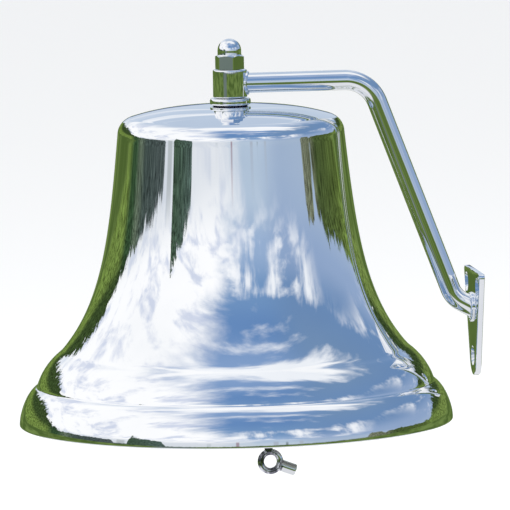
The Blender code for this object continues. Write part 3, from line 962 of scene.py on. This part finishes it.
def cloud_cover(graph, around, flat, z):
    """Share of white cloud: flat banks overhead and upright heaps over the horizon."""
    cloud = graph.noise(flat, 2.3, 5.0, 0.55, 0.2)
    upright = graph.vector(around, graph.math("MULTIPLY", z, 0.06), 9.0)
    plume = graph.noise(upright, 34.0, 4.0, 0.6)
    heap = graph.math("MULTIPLY", by_turn(graph, around, HEAP_TURN),
                      graph.ramp(z, [(0.16, 0.0), (0.27, 1.0), (0.42, 1.0), (0.58, 0.0)]))
    blend = graph.blend(graph.math("MULTIPLY", heap, 0.75), cloud, plume)
    fuller = graph.math("ADD", blend, graph.math("MULTIPLY", heap, 0.06))
    low_gap = graph.ramp(z, [(0.44, 0.0), (0.54, 0.09), (0.64, 0.09), (0.72, 0.0)])
    fuller = graph.math("SUBTRACT", fuller, low_gap)
    fuller = graph.math("ADD", fuller, graph.step(z, 0.74, 0.90, 0.0, 0.07))
    return graph.step(fuller, 0.47, 0.68)


def cloud_streak(graph, x, y, z):
    """Share of one long streak of cloud that crosses the top of the sky."""
    wave = graph.noise(graph.vector(x, 0.0, 0.0), 6.0, 4.0, 0.6)
    middle = graph.math("ADD", 0.06, graph.math("MULTIPLY", wave, 0.16))
    off = graph.math("ABSOLUTE", graph.math("SUBTRACT", y, middle))
    return graph.math("MULTIPLY", graph.step(off, 0.10, 0.02), graph.step(z, 0.70, 0.88))


def add_veil(graph, sky, flat, x, z):
    """Bright cloud over the left of the sky, faintly mottled, with haze low down."""
    veil = graph.noise(flat, 1.7, 6.0, 0.62, 0.4)
    edge = graph.math("ADD", x, graph.math("MULTIPLY", graph.math("SUBTRACT", veil, 0.5), 0.9))
    edge = graph.math("ADD", edge, graph.step(z, 0.20, 0.50, 0.0, 0.26))
    faint = graph.noise(flat, 2.9, 5.0, 0.6, 0.3)
    bright = graph.mix(graph.step(faint, 0.47, 0.67), (1.06, 1.06, 1.07), (0.68, 0.73, 0.87))
    bright = graph.mix(graph.step(z, 0.05, 0.22), (0.72, 0.76, 0.82), bright)
    return graph.mix(graph.step(edge, 0.16, -0.34), sky, bright)


def sky_colour(graph, around, x, y, z):
    """Blue sky with cloud on the right, a bright veil on the left and hills far behind."""
    # Places on a flat layer of air overhead, so that cloud gathers towards the horizon
    lift = graph.math("ADD", graph.math("MAXIMUM", z, 0.0), 0.22)
    flat = graph.vector(graph.math("DIVIDE", graph.math("MULTIPLY", x, 0.62), lift),
                        graph.math("DIVIDE", y, lift), 3.7)
    open_sky = graph.math("MULTIPLY", graph.step(x, 0.95, 0.80), graph.step(z, 0.10, 0.24))
    cover = graph.math("MULTIPLY", cloud_cover(graph, around, flat, z), open_sky)
    sky = graph.mix(cover, clear_sky(graph, x, y, z), (0.96, 0.98, 1.02))
    streak = graph.math("MULTIPLY", cloud_streak(graph, x, y, z), open_sky)
    sky = graph.mix(streak, sky, (1.05, 1.05, 1.06))
    sky = add_veil(graph, sky, flat, x, z)
    hills = graph.math("MULTIPLY", graph.step(z, 0.07, 0.03), graph.step(y, 0.80, 0.93))
    return graph.mix(hills, sky, (0.12, 0.15, 0.34))


# Slim uprights that stand against the sky: turn, half width in degrees, top, colour
POSTS = [(-7.0, 1.1, 0.165, (0.30, 0.16, 0.20)), (13.0, 1.8, 0.15, (0.40, 0.44, 0.52)),
         (19.0, 0.9, 0.115, (0.10, 0.14, 0.15)), (27.0, 1.5, 0.14, (0.42, 0.47, 0.54)),
         (-22.0, 1.5, 0.13, (0.55, 0.60, 0.64)), (-71.5, 3.4, 0.16, (0.40, 0.44, 0.45))]


def add_posts(graph, colour, around, z):
    """Lay the thin posts over the sky, fading out towards their tops."""
    for turn, half_width, top, tone in POSTS:
        off = graph.math("ABSOLUTE", graph.math("SUBTRACT", around, (turn + 180.0) / 360.0))
        across = graph.step(off, half_width / 360.0, half_width / 720.0)
        share = graph.math("MULTIPLY", across, graph.step(z, top, top - 0.08))
        colour = graph.mix(graph.math("MULTIPLY", share, 0.7), colour, tone)
    return colour


# Tree tops by the turn about Z, as sines of the elevation
TREE_TOPS = [(-180, 0.04), (-172, 0.20), (-156, 0.31), (-140, 0.30), (-129, 0.20),
             (-122, 0.165), (-114, 0.135), (-104, 0.12), (-95, 0.112), (-86, 0.108),
             (-78, 0.105), (-76, 0.02), (-67.5, 0.02), (-66, 0.31), (-62, 0.25), (-56, 0.20),
             (-51, 0.17), (-47, 0.14), (-46, 0.01), (-30, 0.01), (66, 0.015), (68, 0.12),
             (76, 0.13), (78, 0.04), (81, 0.10), (90, 0.125), (98, 0.11), (112, 0.095),
             (122, 0.12), (134, 0.26), (158, 0.28), (167, 0.02)]

# Colours of the trees by the same turn
TREE_TONES = [(-180, (0.15, 0.23, 0.05)), (-130, (0.16, 0.24, 0.055)),
              (-123, (0.035, 0.075, 0.03)), (-117, (0.035, 0.075, 0.035)),
              (-111, (0.12, 0.16, 0.11)), (-103, (0.055, 0.078, 0.070)),
              (-76, (0.07, 0.09, 0.09)), (-66, (0.05, 0.088, 0.055)),
              (-47, (0.075, 0.115, 0.10)), (68, (0.17, 0.19, 0.13)), (80, (0.13, 0.15, 0.09)),
              (85, (0.06, 0.09, 0.03)), (112, (0.08, 0.12, 0.03)), (119, (0.14, 0.21, 0.05)),
              (150, (0.16, 0.23, 0.06)), (180, (0.13, 0.20, 0.05))]

# How dark the crowns of the woods get, by the same turn
CROWN_TURN = [(-140, 0.85), (-120, 0.85), (-112, 0.0), (118, 0.0), (130, 0.85)]


def tree_cover(graph, around, z):
    """Share of trees: everything under their ragged tops."""
    tops = by_turn(graph, around, TREE_TOPS)
    where = graph.vector(around, graph.math("MULTIPLY", z, 0.10), 0.0)
    ragged = graph.math("SUBTRACT", graph.noise(where, 120.0, 6.0, 0.80), 0.5)
    swing = graph.math("MULTIPLY", graph.math("ADD", tops, 0.02), 1.25)
    top = graph.math("ADD", tops, graph.math("MULTIPLY", ragged, swing))
    return graph.step(graph.math("SUBTRACT", top, z), -0.003, 0.010)


def tree_colour(graph, around, z):
    """Greens of the trees, broken up into sunlit and shaded leaves."""
    tone = by_turn(graph, around, TREE_TONES)
    where = graph.vector(around, graph.math("MULTIPLY", z, 0.30), 0.0)
    leaves = graph.noise(where, 230.0, 6.0, 0.8)
    # The woods behind the bell have sunlit feet and dark crowns
    crowns = graph.math("MULTIPLY", by_turn(graph, around, CROWN_TURN), graph.step(z, 0.08, 0.16))
    tone = graph.mix(crowns, tone, (0.020, 0.040, 0.016))
    shade = graph.node("ShaderNodeVectorMath", operation="SCALE")
    graph.put(shade.inputs[0], tone)
    graph.put(shade.inputs["Scale"], graph.step(leaves, 0.36, 0.66, 0.22, 2.0))
    return shade.outputs[0]


def ground_colour(graph, around, z):
    """Lawn out to the horizon, and pale ground close to the bell."""
    where = graph.vector(around, graph.math("MULTIPLY", z, 0.6), 5.0)
    patches = graph.noise(where, 26.0, 5.0, 0.6)
    lawn = graph.mix(graph.step(patches, 0.38, 0.62), (0.075, 0.125, 0.03), (0.17, 0.25, 0.07))
    path = by_turn(graph, around, [(-54, 0.0), (-48, 0.85), (-33, 0.85), (-27, 0.0)])
    lawn = graph.mix(path, lawn, (0.16, 0.20, 0.20))
    slabs = graph.noise(where, 14.0, 4.0, 0.6)
    pale = graph.mix(slabs, (0.95, 0.95, 0.97), (0.72, 0.74, 0.80))
    return graph.mix(graph.step(z, -0.36, -0.50), lawn, pale)


# ---------------------------------------------------------------- build

def main():
    bpy.context.scene.view_settings.view_transform = "Standard"
    make_camera()
    chrome = bracket_chrome()
    steel = satin_steel()
    clapper_metal = clapper_chrome()
    make_bell()
    make_stack(chrome, steel, packing_rubber())
    make_arm(chrome)
    make_plate(chrome)
    make_hanger(steel)
    make_link(clapper_metal)
    make_clapper(clapper_metal)
    make_world()
    make_floor()
    make_lights()


main()
